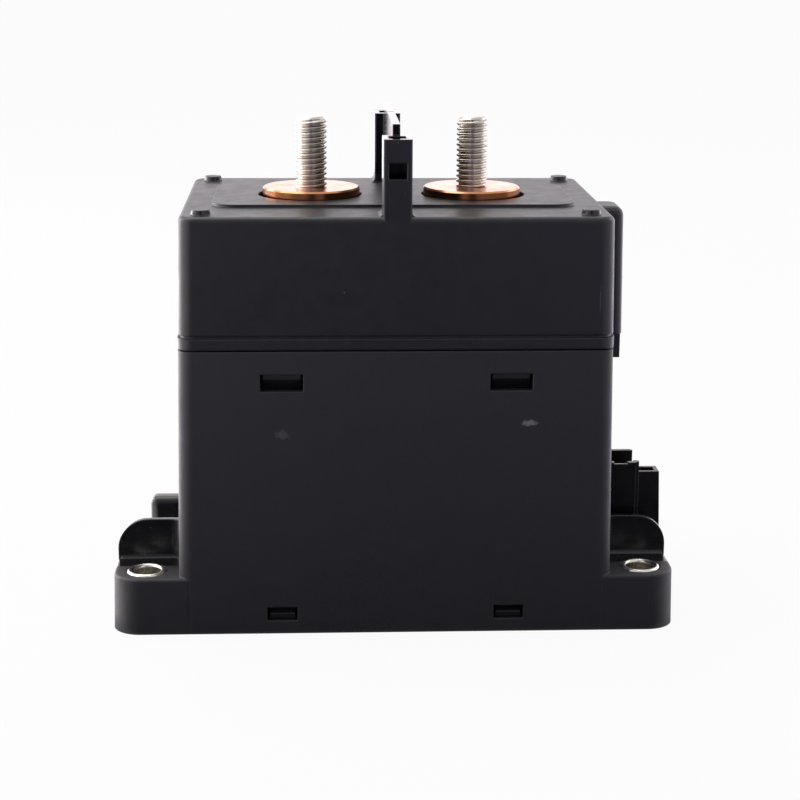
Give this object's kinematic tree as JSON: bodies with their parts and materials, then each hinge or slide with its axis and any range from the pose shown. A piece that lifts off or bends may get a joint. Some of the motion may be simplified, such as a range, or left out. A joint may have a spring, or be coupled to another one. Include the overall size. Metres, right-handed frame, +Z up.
{
  "type": "high voltage dc contactor",
  "caption": "Black moulded DC contactor with threaded stud terminals on copper discs, a barrier wall between them, side ears with metal bushings and a plug connector.",
  "frame": {"origin": "centre of the underside that the housing stands on", "axes": "+X to the side with the connector, +Y to the rear, away from the face seen in the picture, +Z up along the studs and the plunger"},
  "size_m": [0.1064, 0.0558, 0.0947],
  "materials": {
    "black_moulding": "fine matt moulding",
    "dark_moulding": "fine matt moulding",
    "natural_moulding": "plain moulding",
    "nickel_plate": "bright plated",
    "pin_metal": "tin plated",
    "copper": "turned copper",
    "copper_wire": "enamelled wire",
    "stainless": "rolled thread",
    "zinc_steel": "zinc plated",
    "magnet": "sintered",
    "ceramic": "fired alumina",
    "rubber": "moulded",
    "board": "solder resist"
  },
  "bodies": {
    "housing": {"upper_cover": "black_moulding", "lower_housing": "black_moulding", "bottom_plate": "dark_moulding", "bushing_front_left": "nickel_plate", "bushing_front_right": "nickel_plate", "bushing_rear_right": "nickel_plate", "connector_body": "black_moulding", "connector_pins": "pin_metal", "control_board": "board", "terminal_left": "copper", "terminal_right": "copper", "stud_left": "stainless", "stud_right": "stainless", "braze_ring_left": "nickel_plate", "braze_ring_right": "nickel_plate", "ceramic_chamber": "ceramic", "chamber_skirt": "nickel_plate", "magnet_front": "magnet", "magnet_rear": "magnet", "magnet_yoke": "zinc_steel", "yoke_top_plate": "zinc_steel", "yoke_frame": "zinc_steel", "yoke_pad": "rubber", "coil_bobbin": "natural_moulding", "coil_winding": "copper_wire", "coil_pins": "pin_metal", "plunger_sleeve": "stainless", "fixed_core": "zinc_steel", "return_spring": "stainless"},
    "armature": {"plunger": "zinc_steel", "shaft": "stainless", "spring_seat": "stainless", "shaft_clip": "stainless", "contact_spring": "stainless"},
    "bridge": {"contact_bridge": "copper"}
  },
  "joints": [
    {"name": "plunger_slide", "type": "slide", "parent": "housing", "child": "armature", "axis": [0, 0, 1], "range_m": [0, 0.0024], "stiffness_N_per_m": 1200, "springref_m": -0.004, "deforming": ["return_spring"]},
    {"name": "bridge_slide", "type": "slide", "parent": "armature", "child": "bridge", "axis": [0, 0, 1], "range_m": [-0.00063, 0], "deforming": ["contact_spring"]}
  ],
  "couplings": [
    {"joint": "bridge_slide", "follows": "plunger_slide", "ratio": -0.2625}
  ]
}
